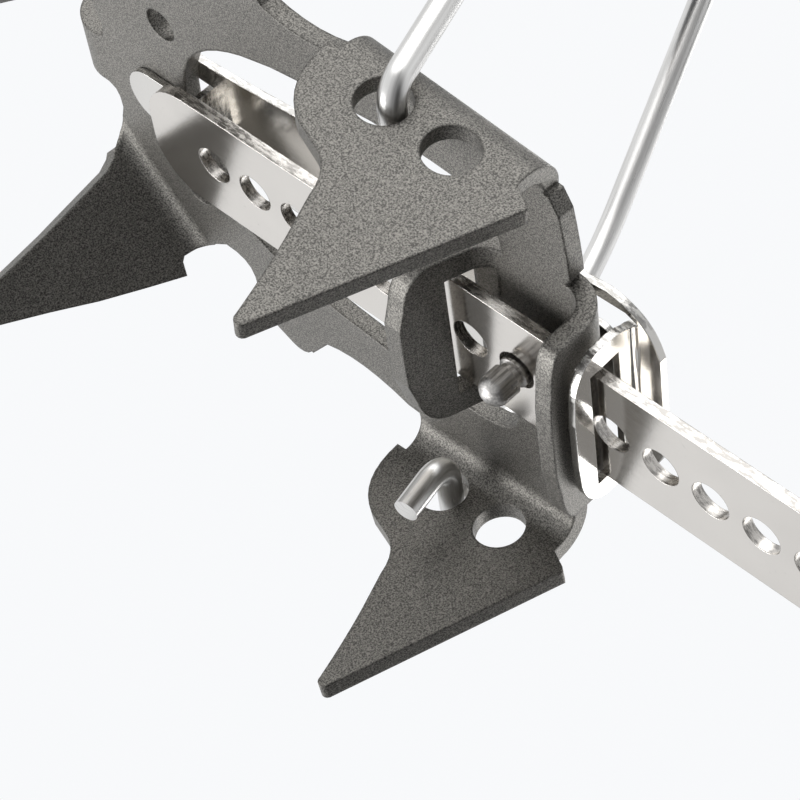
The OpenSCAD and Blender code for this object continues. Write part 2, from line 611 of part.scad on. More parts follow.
// The lever: a channel open to the front, with a window for the thumb wheel,
// slots for the cross wire and for the strap, and a foot for the catch
module heel_lever() color("#33363a") placed() {
    x0 = lever_back;
    z0 = lever_low;
    z1 = lever_top;
    inside = lever_w - 2 * lever_wall;
    foot = 9;
    difference() {
        translate([0, lever_w / 2, 0]) rotate([90, 0, 0]) linear_extrude(lever_w) polygon(concat(
            [[lever_face - 1, z0 + 1], [lever_face, z0 + 3], [lever_face, z1 - 12]],
            curve([lever_face, z1 - 8], [lever_face - 1, z1 - 1], [x0 + 7, z1], 5),
            curve([x0 + 3, z1], [x0 - 0.5, z1 - 1], [x0, z1 - 7], 4),
            [[x0 + 0.5, top_z]],
            curve([x0 + 0.6, z0 + 14], [x0 + 0.8, z0 + 4], [x0 + 4.5, z0 + 1], 4)));
        translate([x0 + back_wall, -inside / 2, z0 + foot]) cube([lever_depth, inside, channel_top - z0 - foot]);
        translate([x0 + back_wall, -inside / 2, channel_top + partition]) cube([lever_depth, inside, z1 - 3 - channel_top - partition]);
        for (k = [-1, 1]) translate([top_x, lever_w, top_z + k * adjust_travel]) rotate([90, 0, 0]) cylinder(d = wire_d + 0.6, h = 2 * lever_w);
        translate([top_x - wire_d / 2 - 0.3, -lever_w, top_z - adjust_travel]) cube([wire_d + 0.6, 2 * lever_w, 2 * adjust_travel]);
        translate([x0 - 5, -inside / 2 + 1.6, wheel_z - 0.8]) cube([12, inside - 3.2, wheel_t + 1.6]);
        translate([screw_x, 0, z0 + 4]) cylinder(d = screw_d + 0.1, h = channel_top + partition - z0 - 3);
        translate([strap_rear - strap_t - 0.3, -lever_w, strap_z - 0.3]) cube([strap_t + 0.6, 2 * lever_w, strap_w + 0.6]);
        translate([lever_face - 2, -lever_w / 2 + 2, z0 - 1]) cube([5, lever_w - 4, foot + 0.2]);
        for (y = [-8, 8]) translate([x0 + 6, y, z0 + 5]) rotate([0, 90, 0]) cylinder(d = 3.2, h = lever_depth);
    }
}

module adjuster_screw() color("silver") placed() translate([screw_x, 0, 0]) {
    r = screw_d / 2;
    z0 = lever_low + 4.3;
    z1 = channel_top + partition;
    n = floor((z1 - z0 - 3) / screw_pitch);
    rotate_extrude($fn = 32) polygon(concat(
        [[0, z0], [r - 0.4, z0], [r - 0.4, z0 + 1]],
        [for (i = [0:n - 1]) each [[r - 0.4, z0 + 1.4 + i * screw_pitch], [r, z0 + 1.4 + (i + 0.4) * screw_pitch], [r, z0 + 1.4 + (i + 0.55) * screw_pitch]]],
        [[r - 0.4, z1 - 0.6], [r - 0.9, z1], [0, z1]]));
}

module thumb_wheel() color("#c0392b") placed() translate([screw_x, 0, wheel_z]) difference() {
    cylinder(d = wheel_d, h = wheel_t);
    translate([0, 0, -1]) cylinder(d = screw_d, h = wheel_t + 2);
    for (a = [0:15:345]) rotate([0, 0, a]) translate([wheel_d / 2 + 0.35, 0, -1]) cylinder(d = 1.6, h = wheel_t + 2, $fn = 16);
}

// Steel catch that grips the boot's heel welt
module welt_catch() color("silver") placed() {
    z0 = lever_low;
    x = lever_face - 2;
    w = lever_w - 4.6;
    difference() {
        translate([0, w / 2, 0]) rotate([90, 0, 0]) linear_extrude(w) polygon([
            [x, z0 + 8.2], [x, z0 - 1.2], [x + 0.8, z0 - 2], [x + 9.6, z0 - 2], [x + 11.4, z0 - 0.2], [x + 11.4, z0 + 2.6], [x + 9.4, z0 + 2.6], [x + 9.4, z0], [x + 2, z0], [x + 2, z0 + 8.2]]);
        for (y = [-8, 8]) translate([x - 1, y, z0 + 5]) rotate([0, 90, 0]) cylinder(d = 3.2, h = 5);
    }
}

module catch_rivets() color("gray") placed() for (y = [-8, 8]) translate([lever_face, y, lever_low + 5]) rotate([0, 90, 0])
    rotate_extrude($fn = 32) polygon([[0, 6 - lever_depth], [1.6, 6 - lever_depth], [1.6, 0], [2.6, 0], [2.2, 0.9], [0, 1.3]]);

// Outline of the ankle loop, grown by o
module loop_outline(o) {
    for (k = [-1, 1]) translate([strap_rear + strap_r, k * (loop_half - strap_r)]) circle(r = strap_r + o, $fn = 72);
    translate([strap_front - loop_half, 0]) circle(r = loop_half + o, $fn = 96);
    translate([strap_rear + strap_r, -loop_half - o]) square([loop_len - loop_half - strap_r, loop_w + 2 * o]);
    translate([strap_rear - o, strap_r - loop_half]) square([strap_r + o, loop_w - 2 * strap_r]);
}

// One webbing end turned round a bar of the buckle; way is 1 or -1
module wrap(x, len, way) translate([x, buckle_y]) {
    intersection() {
        difference() {
            circle(r = wrap_r + strap_t, $fn = 32);
            circle(r = wrap_r, $fn = 32);
        }
        translate([way > 0 ? -10 : 0, -10]) square([10, 20]);
    }
    translate([way > 0 ? 0 : -len, wrap_r]) square([len, strap_t]);
    translate([way > 0 ? 0 : -5, -wrap_r - strap_t]) square([5, strap_t]);
}

module ankle_strap() color("#2b2b2e") placed() translate([0, 0, strap_z]) linear_extrude(strap_w) {
    difference() {
        loop_outline(strap_t);
        loop_outline(0);
        translate([buckle_x - buckle_step, loop_half - 3]) square([buckle_step, 8]);
    }
    wrap(buckle_x, tail_len, 1);
    wrap(buckle_x - buckle_step, 14, -1);
}

// Buckle: a frame with two of its three bars; the middle bar is its own piece
module strap_buckle() color("silver") placed() {
    h = strap_w + 0.8;
    t = 2.6;
    front_bar = buckle_x + 8.5;
    difference() {
        union() {
            for (z = [strap_z - 0.4 - t, strap_z - 0.4 + h]) translate([buckle_x - buckle_step - 3.2, buckle_y - 2, z]) cube([front_bar + 3 - buckle_x + buckle_step + 3.2, 4, t]);
            for (x = [buckle_x - buckle_step, front_bar]) translate([x, buckle_y, strap_z - 0.4]) cylinder(d = buckle_bar_d, h = h);
        }
        translate([buckle_x, buckle_y, strap_z - 0.4 - 1.4]) cylinder(d = buckle_bar_d + 0.05, h = h + 2.8);
    }
}

module buckle_bar() color("gray") placed() translate([buckle_x, buckle_y, strap_z - 1.8]) cylinder(d = buckle_bar_d, h = strap_w + 3.6);

module strap_keeper() color("#1c1c1e") placed() {
    y0 = loop_half - 0.3;
    y1 = buckle_y + wrap_r + strap_t + 0.3;
    x = keeper_x;
    difference() {
        translate([x, y0 - 1.1, strap_z - 1.6]) cube([keeper_w, y1 - y0 + 2.2, strap_w + 3.2]);
        translate([x - 1, y0, strap_z - 0.3]) cube([keeper_w + 2, y1 - y0, strap_w + 0.6]);
    }
}

// The moulded cage: a U-shaped band round the toe, cut to its side outline
module u_shape(r, h) {
    translate([cage_mid_x, 0, 0]) cylinder(r = r, h = h, $fn = 120);
    translate([pivot_x - 20, -r, 0]) cube([cage_mid_x - pivot_x + 20, 2 * r, h]);
}

module toe_cage() color("#26272a") placed() {
    top = band_z + band_w;
    difference() {
        intersection() {
            difference() {
                u_shape(cage_out, 80);
                translate([-eps, 0, -1]) u_shape(cage_in, 90);
                translate([pivot_x - 40, -cage_in, -1]) cube([40, 2 * cage_in, 90]);
            }
            translate([0, 80, 0]) rotate([90, 0, 0]) linear_extrude(160) difference() {
                polygon(concat(
                    arc([pivot_x, cage_pivot_z], 9, 180, 270, 8),
                    curve([pivot_x + 5, cage_pivot_z - 8.6], [pivot_x + 24, band_z - 4], [cage_mid_x + 24, band_z], 6),
                    [[cage_mid_x + 60, band_z], [cage_mid_x + 60, top]],
                    curve([cage_mid_x + 14, top], [pivot_x + 8, top + 1], [pivot_x - 4, arch_rivet_z + 11], 6),
                    curve([pivot_x - 7, arch_rivet_z + 10], [pivot_x - 9, arch_rivet_z + 6], [pivot_x - 9, arch_rivet_z], 4)));
                polygon(concat(
                    curve([pivot_x + 17, cage_pivot_z + 7], [pivot_x + 26, band_z + 2], [cage_mid_x + 24, band_z + 7], 4),
                    curve([cage_mid_x + 28, band_z + 12], [cage_mid_x + 16, top - 5], [pivot_x + 18, top - 6], 4),
                    curve([pivot_x + 15, top - 9], [pivot_x + 14, cage_pivot_z + 12], [pivot_x + 14, cage_pivot_z + 9], 3)));
            }
        }
        translate([pivot_x, 80, cage_pivot_z]) rotate([90, 0, 0]) cylinder(d = cage_pin_d + 0.1, h = 160);
        sides() translate([arch_x, 80, arch_rivet_z]) rotate([90, 0, 0]) cylinder(d = 4, h = 60);
        for (a = [-32:16:32]) translate([cage_mid_x, 0, band_z + band_w / 2 - 4]) rotate([0, 0, a]) translate([cage_in - 4, -4, 0]) cube([12, 8, 8]);
    }
}

// Flexible arch over the toes, riveted inside the cage's arms
module cage_arch() color("#26272a") placed() {
    r = 24;
    difference() {
        translate([arch_x - arch_w / 2, 0, 0]) rotate([90, 0, 90]) linear_extrude(arch_w) difference() {
            arch_shape(cage_in, r, arch_top);
            arch_shape(cage_in - arch_t, r - arch_t, arch_top - arch_t);
            translate([-80, -1]) square([160, arch_rivet_z - 7 + 1]);
        }
        translate([arch_x, 80, arch_rivet_z]) rotate([90, 0, 0]) cylinder(d = 4, h = 160);
        for (y = [-20:10:20]) translate([arch_x - 4, y - 2.5, arch_top - 10]) cube([8, 5, 20]);
    }
}

module arch_shape(w, r, h) {
    translate([-w, 0]) square([2 * w, h - r]);
    translate([-w + r, 0]) square([2 * (w - r), h]);
    for (k = [-1, 1]) translate([k * (w - r), h - r]) circle(r = r, $fn = 72);
}

module cage_pins() color("silver") placed() sides() translate([pivot_x, 0, cage_pivot_z]) rotate([-90, 0, 0])
    rotate_extrude($fn = 32) polygon([[0, cage_in - 1.6], [3.2, cage_in - 1.6], [4, cage_in - 0.9], [4, cage_in - 0.2], [cage_pin_d / 2, cage_in - 0.2],
        [cage_pin_d / 2, ear_out], [4.2, ear_out], [4.2, ear_out + 0.8], [3.2, ear_out + 1.6], [0, ear_out + 1.8]]);

module arch_rivets() color("silver") placed() sides() translate([arch_x, 0, arch_rivet_z]) rotate([-90, 0, 0])
    rotate_extrude($fn = 32) polygon([[0, cage_in - arch_t - 1], [3, cage_in - arch_t - 0.7], [3.4, cage_in - arch_t], [2, cage_in - arch_t],
        [2, cage_out], [3.4, cage_out], [3, cage_out + 0.7], [0, cage_out + 1]]);

heel_frame();
guide_leaf();
lock_leaf();
lock_pin();
linking_bar();
front_frame();
bar_bolt();
bar_spacer();
bar_nut();
bail_wire();
adjuster_block();
heel_lever();
adjuster_screw();
thumb_wheel();
welt_catch();
catch_rivets();
ankle_strap();
strap_buckle();
buckle_bar();
strap_keeper();
toe_cage();
cage_arch();
cage_pins();
arch_rivets();
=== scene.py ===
# %% [markdown]
# # A crampon for mountain boots, seen close up from below
#
# A crampon is a steel frame with spikes that is strapped under a boot. This one
# has two frames joined by a flat bar: the heel frame slides along the bar, and a
# spring leaf holds it with a pin in one of the bar's holes. A wire bail and a
# lever grip the boot's heel, and a moulded cage holds its toe.
#
# The shapes of the metal and moulded pieces come ready made from the packed
# model. This notebook gives them their finishes, makes the wire, the webbing and
# its stitches anew, and sets the light and the camera.

import math

import bpy
from mathutils import Matrix, Vector


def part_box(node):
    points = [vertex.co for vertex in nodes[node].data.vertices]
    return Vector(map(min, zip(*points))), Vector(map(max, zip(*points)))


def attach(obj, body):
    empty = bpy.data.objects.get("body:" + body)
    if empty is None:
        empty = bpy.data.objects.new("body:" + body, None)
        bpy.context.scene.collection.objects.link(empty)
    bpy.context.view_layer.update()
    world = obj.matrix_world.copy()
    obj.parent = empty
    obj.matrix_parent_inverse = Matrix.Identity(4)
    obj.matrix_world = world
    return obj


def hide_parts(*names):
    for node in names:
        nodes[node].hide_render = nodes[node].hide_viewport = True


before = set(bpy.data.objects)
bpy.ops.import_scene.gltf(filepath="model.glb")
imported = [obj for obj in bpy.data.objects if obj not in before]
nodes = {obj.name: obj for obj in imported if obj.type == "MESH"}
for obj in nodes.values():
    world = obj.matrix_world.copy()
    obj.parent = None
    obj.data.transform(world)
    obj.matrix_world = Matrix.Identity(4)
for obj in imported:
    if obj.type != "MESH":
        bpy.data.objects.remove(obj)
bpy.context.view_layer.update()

# %% [markdown]
# ## Where the model's sizes come from
#
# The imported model's axes have X towards the toe and Z up, with the spike tips
# on the ground. Its drawing measures from the locking pin, so one small function
# turns the drawing's millimetres into the metres that Blender uses here.

# %% From the drawing's millimetres to metres
MM = 0.001
PIN_X = -81.86
SPIKE = 38.6


def place(x, y, z):
    return Vector(((x + PIN_X) * MM, y * MM, (z + SPIKE) * MM))


print("the locking pin is at", place(0, 0, 0))

# %% [markdown]
# ## Writing shaders as sums
#
# A procedural finish is a formula: grain plus scratches, times a mask. Linking
# nodes by hand hides that, so a small class wraps one output of a node and adds
# the Math node when two outputs are added or multiplied. Every other node comes
# from one method, which takes the node's settings and then its inputs.

# %% A shader value that can be added and multiplied
class Value:
    def __init__(self, sheet, socket):
        self.sheet = sheet
        self.socket = socket

    def work(self, operation, a, b=0.0):
        return self.sheet.node("ShaderNodeMath", {"operation": operation}, {0: a, 1: b})

    def __add__(self, other):
        return self.work("ADD", self, other)

    def __radd__(self, other):
        return self.work("ADD", other, self)

    def __sub__(self, other):
        return self.work("SUBTRACT", self, other)

    def __rsub__(self, other):
        return self.work("SUBTRACT", other, self)

    def __mul__(self, other):
        return self.work("MULTIPLY", self, other)

    def __rmul__(self, other):
        return self.work("MULTIPLY", other, self)

    def __gt__(self, other):
        return self.work("GREATER_THAN", self, other)

    def magnitude(self):
        return self.work("ABSOLUTE", self)

    def sine(self):
        return self.work("SINE", self)


# %% [markdown]
# ## A sheet of nodes
#
# Each material, and the world too, is one sheet. Its methods are the few things
# that every finish here needs: grain of a given size in millimetres, a value
# stretched to a new range, two colours blended, and a height turned into bumps.
# A Mix node has sockets for every kind of value, so its colour sockets go by
# number.

# %% The sheet
MIX_FACTOR, MIX_A, MIX_B, MIX_RESULT = 0, 6, 7, 2
BEVEL_SAMPLES = 6


class Sheet:
    def __init__(self, name, block=None):
        self.block = block or bpy.data.materials.new(name)
        self.block.use_nodes = True
        self.tree = self.block.node_tree
        self.tree.nodes.clear()

    def node(self, kind, settings=None, inputs=None, out=0):
        made = self.tree.nodes.new(kind)
        for key, setting in (settings or {}).items():
            setattr(made, key, setting)
        for key, given in (inputs or {}).items():
            socket = made.inputs[key]
            if isinstance(given, Value):
                self.tree.links.new(given.socket, socket)
            elif socket.type == "RGBA" and len(given) == 3:
                socket.default_value = (*given, 1)
            else:
                socket.default_value = given
        return Value(self, made.outputs[out]) if len(made.outputs) else None

    def position(self):
        return self.node("ShaderNodeTexCoord", out="Object")

    def facing(self):
        return self.node("ShaderNodeTexCoord", out="Normal")

    def attribute(self, name):
        return self.node("ShaderNodeAttribute", {"attribute_name": name}, out="Fac")

    def ray(self, kind):
        return self.node("ShaderNodeLightPath", out="Is %s Ray" % kind)

    def part(self, vector, axis):
        return self.node("ShaderNodeSeparateXYZ", {}, {"Vector": vector}, out=axis)

    def grain(self, size_mm, detail=2.0, roughness=0.5, stretch=(1, 1, 1), where=None):
        spot = where or self.position()
        if stretch != (1, 1, 1):
            spot = self.node("ShaderNodeMapping", {}, {"Vector": spot, "Scale": stretch})
        return self.node("ShaderNodeTexNoise", {}, {
            "Vector": spot, "Scale": 1 / (size_mm * MM), "Detail": detail, "Roughness": roughness})

    def level(self, value, low, high, to_low=0.0, to_high=1.0):
        return self.node("ShaderNodeMapRange", {"clamp": True}, {
            "Value": value, "From Min": low, "From Max": high, "To Min": to_low, "To Max": to_high})

    def blend(self, factor, a, b, how="MIX"):
        return self.node("ShaderNodeMix", {"data_type": "RGBA", "blend_type": how}, {
            MIX_FACTOR: factor, MIX_A: a, MIX_B: b}, out=MIX_RESULT)

    def bumps(self, height, depth_mm, strength=1.0, rounded_mm=0.0):
        inputs = {"Height": height, "Distance": depth_mm * MM, "Strength": strength}
        if rounded_mm:
            inputs["Normal"] = self.node(
                "ShaderNodeBevel", {"samples": BEVEL_SAMPLES}, {"Radius": rounded_mm * MM})
        return self.node("ShaderNodeBump", {}, inputs)

    def surface(self, **inputs):
        named = {key.replace("_", " ").title().replace("Ior", "IOR"): given for key, given in inputs.items()}
        shader = self.node("ShaderNodeBsdfPrincipled", {}, named)
        self.node("ShaderNodeOutputMaterial", {}, {"Surface": shader})
        return self.block


# %% [markdown]
# ## Powder coat
#
# The frames are bent steel plate under a dark grey powder coat that holds fine
# flakes of metal. Close up it is a bumpy skin that glitters: each bump of about
# a fifth of a millimetre catches the light by itself, so the grey is a mixture
# of light and dark points. Painting two greys on a smooth plate would look flat.
# So one fine noise sets the tone, the roughness and the bump together, on a
# finish that is mostly metallic, and a wide faint cloud varies the large faces.
# The tone is lighter on each bump's crown and darker in its dip: partly the
# flakes' own brightness, partly painted glints and painted shade.
# Corners of plate are never sharp, which a Bevel node shows without new faces.

# %% The powder coat
def make_powder_coat():
    s = Sheet("powder_coat")
    fine = s.grain(0.21, 2.0, 0.6)
    coarse = s.grain(0.9, 2.0, 0.5)
    cloud = s.grain(30.0, 2.0, 0.5)
    # the flakes' brightness plus painted glints: the colour is lighter where the bumps rise and darker in
    # their dips
    speck_and_glint = s.level(fine, 0.38, 0.64)
    tone = s.blend(speck_and_glint, (0.078, 0.075, 0.069), (0.320, 0.306, 0.280))
    faint = s.level(cloud, 0.35, 0.7, 0.92, 1.06)
    colour = s.blend(1.0, tone, faint, "MULTIPLY")
    rough = s.level(fine, 0.3, 0.7, 0.36, 0.50)
    height = fine * 0.75 + coarse * 0.25
    return s.surface(base_color=colour, metallic=0.72, roughness=rough, specular_ior_level=0.4,
                     normal=s.bumps(height, 0.07, 0.8, rounded_mm=0.55))


powder_coat = make_powder_coat()
print("made", powder_coat.name)

# %% [markdown]
# ## Bright plate and its sheared edges
#
# The bar and the two leaves are bright plated strip. Their faces are smooth,
# with a faint waviness that bends reflections and a few hairlines along the
# strip. A press tool cut their outlines, and a sheared edge is half smooth and
# half torn. The piece's own normal tells face from edge, so one material serves.
# A leaf turns down at its front end, and beyond that bend its flat side no
# longer looks up: there the normal's other direction tells face from edge.

# %% Bright strip, long in one direction
NO_BEND = 900
LEAF_BEND = 11.5
EDGE_LOW, EDGE_HIGH = 0.55, 0.75


def make_bright_strip(name, tint, along, rough=0.13, bent_from=NO_BEND):
    s = Sheet(name)
    flat_side = s.level(s.part(s.facing(), "Z").magnitude(), EDGE_LOW, EDGE_HIGH, 1.0, 0.0)
    bent_side = s.level(s.part(s.facing(), "Y").magnitude(), EDGE_LOW, EDGE_HIGH)
    bent = s.part(s.position(), "X") > place(bent_from, 0, 0).x
    side = flat_side * (1 - bent) + bent_side * bent
    wave = s.grain(9.0, 2.0, 0.4)
    hair = s.grain(2.2, 3.0, 0.6, stretch=along)
    torn = s.grain(0.5, 3.0, 0.65, stretch=(0.3, 0.3, 1))
    dust = s.grain(0.22, 2.0, 0.6)
    spots = s.level(s.grain(0.6, 2.0, 0.6), 0.70, 0.78)
    face_tone = s.blend(s.level(wave, 0.35, 0.7), tint, tuple(c * 0.95 for c in tint))
    edge_tone = s.blend(s.level(torn, 0.42, 0.58), tuple(c * 0.5 for c in tint), tint)
    tone = s.blend(side, face_tone, edge_tone)
    tone = s.blend(spots * 0.25, tone, (0.22, 0.21, 0.2))
    face_rough = s.level(hair, 0.3, 0.7, rough - 0.04, rough + 0.05)
    roughness = face_rough + side * s.level(torn, 0.35, 0.65, 0.06, 0.2)
    height = (1 - side) * (wave * 0.4 + dust * 0.06) + side * torn * 0.35
    return s.surface(base_color=tone, metallic=1.0, roughness=roughness,
                     normal=s.bumps(height, 0.12, 0.5, rounded_mm=0.16))


bright_strip = make_bright_strip("bright_strip", (0.83, 0.795, 0.75), (1, 18, 18))
bright_leaf = make_bright_strip("bright_leaf", (0.82, 0.80, 0.765), (6, 6, 6), bent_from=LEAF_BEND)
print("made", bright_strip.name, "and", bright_leaf.name)

# %% [markdown]
# ## Turned pin, drawn wire and small hardware
#
# The locking pin is turned and then brushed along its length: its grain runs
# along Z. The bail is drawn stainless wire, whose drawing lines run along the
# wire; there the pattern follows two attributes that the wire itself carries.
# Bolts, rivets and the buckle have a plain zinc finish, dull and a little cloudy.

# %% Darker steel, brushed along Z
def make_pin_steel():
    s = Sheet("pin_steel")
    lines = s.grain(0.5, 3.0, 0.7, stretch=(1, 1, 0.06))
    cloud = s.grain(2.5, 2.0, 0.5)
    tone = s.blend(s.level(lines, 0.35, 0.68), (0.36, 0.35, 0.34), (0.74, 0.72, 0.69))
    rough = s.level(cloud, 0.3, 0.7, 0.26, 0.42)
    return s.surface(base_color=tone, metallic=1.0, roughness=rough, normal=s.bumps(lines, 0.03, 0.4))


pin_steel = make_pin_steel()
print("made", pin_steel.name)


# %% Drawn wire
def make_wire_steel():
    s = Sheet("wire_steel")
    drawn_out = s.attribute("along") * 0.03
    spot = s.node("ShaderNodeCombineXYZ", {}, {"X": drawn_out, "Y": s.attribute("around"), "Z": 0.0})
    lines = s.grain(0.55, 3.0, 0.65, where=spot)
    dents = s.grain(4.0, 2.0, 0.5)
    tone = s.blend(s.level(lines, 0.35, 0.66), (0.72, 0.71, 0.69), (0.90, 0.89, 0.87))
    rough = s.level(lines, 0.3, 0.7, 0.26, 0.38)
    height = lines * 0.4 + dents * 0.2
    return s.surface(base_color=tone, metallic=1.0, roughness=rough, normal=s.bumps(height, 0.05, 0.4))


wire_steel = make_wire_steel()
print("made", wire_steel.name)


# %% Zinc-plated hardware and the cast block
def make_small_metal(name, low, high, rough, bump=0.04):
    s = Sheet(name)
    cloud = s.grain(1.6, 4.0, 0.6)
    fine = s.grain(0.35, 2.0, 0.5)
    tone = s.blend(s.level(cloud, 0.35, 0.65), low, high)
    roughness = s.level(cloud, 0.3, 0.7, rough - 0.06, rough + 0.1)
    height = cloud * 0.4 + fine * 0.6
    return s.surface(base_color=tone, metallic=1.0, roughness=roughness,
                     normal=s.bumps(height, bump, 0.4, rounded_mm=0.2))


zinc = make_small_metal("zinc", (0.52, 0.52, 0.50), (0.70, 0.695, 0.67), 0.28)
cast_alloy = make_small_metal("cast_alloy", (0.34, 0.34, 0.345), (0.46, 0.46, 0.465), 0.46, 0.09)
print("made", zinc.name, "and", cast_alloy.name)

# %% [markdown]
# ## Moulded plastics
#
# The lever, wheel, cage, keeper and arch are moulded. A mould's surface is
# etched, so it is a soft sheen with fine grain, a little greyer where it was
# handled. The arch is a rubbery elastomer: rougher, with a bloom that lightens
# it in clouds. One recipe with a few settings makes all five.

# %% Moulded plastic in any colour
def make_moulded(name, colour, rough, grain_mm=0.5, depth=0.05, bloom=1.25, corner=0.5):
    s = Sheet(name)
    etched = s.grain(grain_mm, 3.0, 0.6)
    cloud = s.grain(22.0, 3.0, 0.55)
    scuff = s.level(s.grain(3.0, 4.0, 0.7, stretch=(1, 5, 5)), 0.64, 0.8)
    bloomed = tuple(min(1, c * bloom + 0.004) for c in colour)
    scuffed = tuple(min(1, c * 1.6 + 0.04) for c in colour)
    tone = s.blend(s.level(cloud, 0.35, 0.7), colour, bloomed)
    tone = s.blend(scuff * 0.25, tone, scuffed)
    roughness = s.level(etched, 0.3, 0.7, rough - 0.05, rough + 0.07) + scuff * 0.08
    return s.surface(base_color=tone, roughness=roughness,
                     normal=s.bumps(etched, depth, 0.5, rounded_mm=corner))


lever_plastic = make_moulded("lever_plastic", (0.055, 0.058, 0.062), 0.42)
wheel_plastic = make_moulded("wheel_plastic", (0.50, 0.075, 0.035), 0.36, corner=0.3)
cage_plastic = make_moulded("cage_plastic", (0.042, 0.043, 0.046), 0.46)
arch_rubber = make_moulded("arch_rubber", (0.052, 0.052, 0.055), 0.62, 0.8, 0.08, 1.5)
keeper_plastic = make_moulded("keeper_plastic", (0.03, 0.03, 0.033), 0.4)
print("materials so far:", len(bpy.data.materials))

# %% [markdown]
# ## Webbing
# Webbing is woven flat: fat warp yarns run along it and pass over and under the
# weft, which shows as a fine herringbone. Two attributes on the strap say how
# far along it and round its section a point lies, in metres, so the weave turns
# with the strap round its corners. Two waves, shifted row by row, give the yarns.
# The colour follows their height: painted shade in the hollows between the
# yarns and where they dip, and lighter crowns.

# %% The woven finish
YARN = 1.15
CROSSING = 2.1


def make_webbing():
    s = Sheet("webbing")
    row = s.attribute("around") * (1 / (YARN * MM))
    shift = row.work("FLOOR", row) * 0.5
    yarn = row.work("PINGPONG", row, 0.5)
    over = ((s.attribute("along") * (1 / (CROSSING * MM)) + shift) * (2 * math.pi)).sine()
    fuzz = s.grain(0.3, 3.0, 0.7)
    height = yarn * 1.2 + over * 0.35 + fuzz * 0.3
    # painted shade: the colour follows the weave's height, darker in the hollows between yarns and lighter
    # on their crowns
    tone = s.blend(s.level(height, 0.1, 1.1), (0.020, 0.020, 0.022), (0.075, 0.075, 0.08))
    rough = s.level(fuzz, 0.3, 0.7, 0.62, 0.82)
    return s.surface(base_color=tone, roughness=rough, sheen_weight=0.25, sheen_roughness=0.4,
                     normal=s.bumps(height, 0.22, 0.8))


webbing = make_webbing()
print("made", webbing.name)

# %% [markdown]
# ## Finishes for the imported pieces
#
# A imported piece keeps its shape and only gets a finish. One dictionary says
# which, so pieces that come from the same stock share a material, and a piece
# that was forgotten stops the notebook here.

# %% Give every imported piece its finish
finish_of = {
    "heel_frame": powder_coat, "front_frame": powder_coat,
    "guide_leaf": bright_leaf, "lock_leaf": bright_leaf, "welt_catch": bright_leaf,
    "linking_bar": bright_strip, "lock_pin": pin_steel, "adjuster_block": cast_alloy,
    "bar_bolt": zinc, "bar_spacer": zinc, "bar_nut": zinc, "adjuster_screw": zinc,
    "catch_rivets": zinc, "strap_buckle": zinc, "buckle_bar": zinc, "cage_pins": zinc,
    "arch_rivets": zinc, "bail_wire": zinc,
    "heel_lever": lever_plastic, "thumb_wheel": wheel_plastic, "toe_cage": cage_plastic,
    "cage_arch": arch_rubber, "strap_keeper": keeper_plastic, "ankle_strap": webbing}
for name, piece in nodes.items():
    piece.data.materials.clear()
    piece.data.materials.append(finish_of[name])
print("finished:", len(finish_of))

# %% [markdown]
# ## Tubes and bands from a path
#
# The bail and the strap are both one section carried along a path. Geometry
# Nodes do that: the path comes in as a chain of points, each corner is rounded
# by its own radius, the section runs along it, and two attributes keep the
# distance along and around. The tree ends with the finish, and the result is
# turned into a plain mesh, because an exported piece can't carry a modifier.

# %% A line object, and one whose corners know their radius
def line_object(name, points, edges):
    data = bpy.data.meshes.new(name)
    data.from_pydata(points, edges, [])
    made = bpy.data.objects.new(name, data)
    bpy.context.scene.collection.objects.link(made)
    return made


def path_object(name, points, radii):
    made = line_object(name, points, [(i, i + 1) for i in range(len(points) - 1)])
    corner = made.data.attributes.new("corner", "FLOAT", "POINT")
    corner.data.foreach_set("value", radii)
    print(name, "points:", len(points))
    return made


# %% Small helpers for geometry trees
def new_tree(name, sizes):
    tree = bpy.data.node_groups.new(name, "GeometryNodeTree")
    tree.interface.new_socket("Geometry", in_out="INPUT", socket_type="NodeSocketGeometry")
    for label, given in sizes.items():
        socket = tree.interface.new_socket(label, in_out="INPUT", socket_type="NodeSocketFloat")
        socket.default_value = given
    tree.interface.new_socket("Geometry", in_out="OUTPUT", socket_type="NodeSocketGeometry")
    return tree


def put(tree, kind, settings=None, inputs=None, out=0):
    made = tree.nodes.new(kind)
    for key, setting in (settings or {}).items():
        setattr(made, key, setting)
    for key, given in (inputs or {}).items():
        if hasattr(given, "is_output"):
            tree.links.new(given, made.inputs[key])
        else:
            made.inputs[key].default_value = given
    return made.outputs[out] if len(made.outputs) else None


def finish_tree(tree, shape, material):
    shape = put(tree, "GeometryNodeRealizeInstances", {}, {"Geometry": shape})
    shape = put(tree, "GeometryNodeSetMaterial", {}, {"Geometry": shape, "Material": material})
    put(tree, "NodeGroupOutput", {}, {"Geometry": shape})
    return tree


# %% From a tree to a plain mesh that rides on a body
def bake(shape, tree, sizes, body, name):
    modifier = shape.modifiers.new("build", "NODES")
    modifier.node_group = tree
    for item in tree.interface.items_tree:
        if item.in_out == "INPUT" and item.name in sizes:
            modifier[item.identifier] = sizes[item.name]
    graph = bpy.context.evaluated_depsgraph_get()
    data = bpy.data.meshes.new_from_object(
        shape.evaluated_get(graph), preserve_all_data_layers=True, depsgraph=graph)
    shape.modifiers.clear()
    bpy.data.objects.remove(shape)
    data.name = name
    piece = bpy.data.objects.new(name, data)
    bpy.context.scene.collection.objects.link(piece)
    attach(piece, body)
    print(name, "triangles:", sum(len(p.vertices) - 2 for p in data.polygons))
    return piece


# %% The tree that carries a section along a path
BEND_STEPS = 14
EDGE_STEPS = 4
ROUND_SIDES = 40


def keep_distance(tree, curve, name):
    distance = put(tree, "GeometryNodeSplineParameter", out="Length")
    return put(tree, "GeometryNodeStoreNamedAttribute", {"data_type": "FLOAT", "domain": "POINT"}, {
        "Geometry": curve, "Name": name, "Value": distance})


